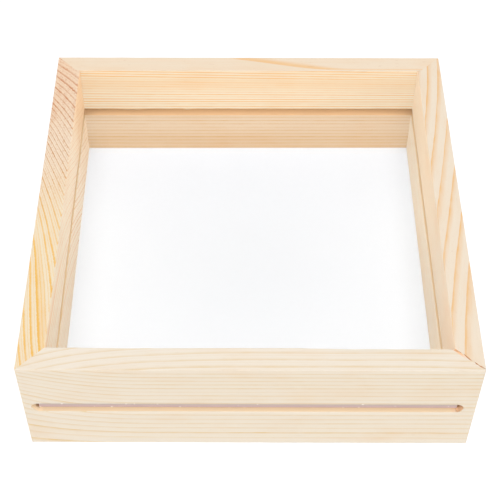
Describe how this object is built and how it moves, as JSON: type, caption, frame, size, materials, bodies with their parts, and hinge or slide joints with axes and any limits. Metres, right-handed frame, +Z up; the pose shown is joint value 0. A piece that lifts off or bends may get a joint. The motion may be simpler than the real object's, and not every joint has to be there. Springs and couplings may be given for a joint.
{
  "type": "butterfly display case",
  "caption": "Square pine display case with mitred rails, a white backing board let in underneath, and a clear cover that slides out through a slot in the front rail.",
  "frame": {"origin": "centre of the underside, where the case stands", "axes": "+X to the right seen from the front, +Y from the slotted front rail to the back rail, +Z up out of the open top"},
  "size_m": [0.18, 0.18, 0.0525],
  "materials": {
    "pine": "planed and sanded pale pine, unvarnished",
    "clear_acrylic": "polished clear sheet with sawn edges",
    "white_board": "white faced fibreboard",
    "fastener_steel": "bright drawn wire and strip"
  },
  "bodies": {
    "case": {"front_rail": "pine", "back_rail": "pine", "left_rail": "pine", "right_rail": "pine", "backing_board": "white_board", "board_brads": "fastener_steel", "corner_v_nails": "fastener_steel"},
    "cover": {"clear_cover": "clear_acrylic"}
  },
  "joints": [
    {"name": "cover_slide", "type": "slide", "parent": "case", "child": "cover", "axis": [0, -1, 0], "range_m": [0, 0.178]}
  ]
}
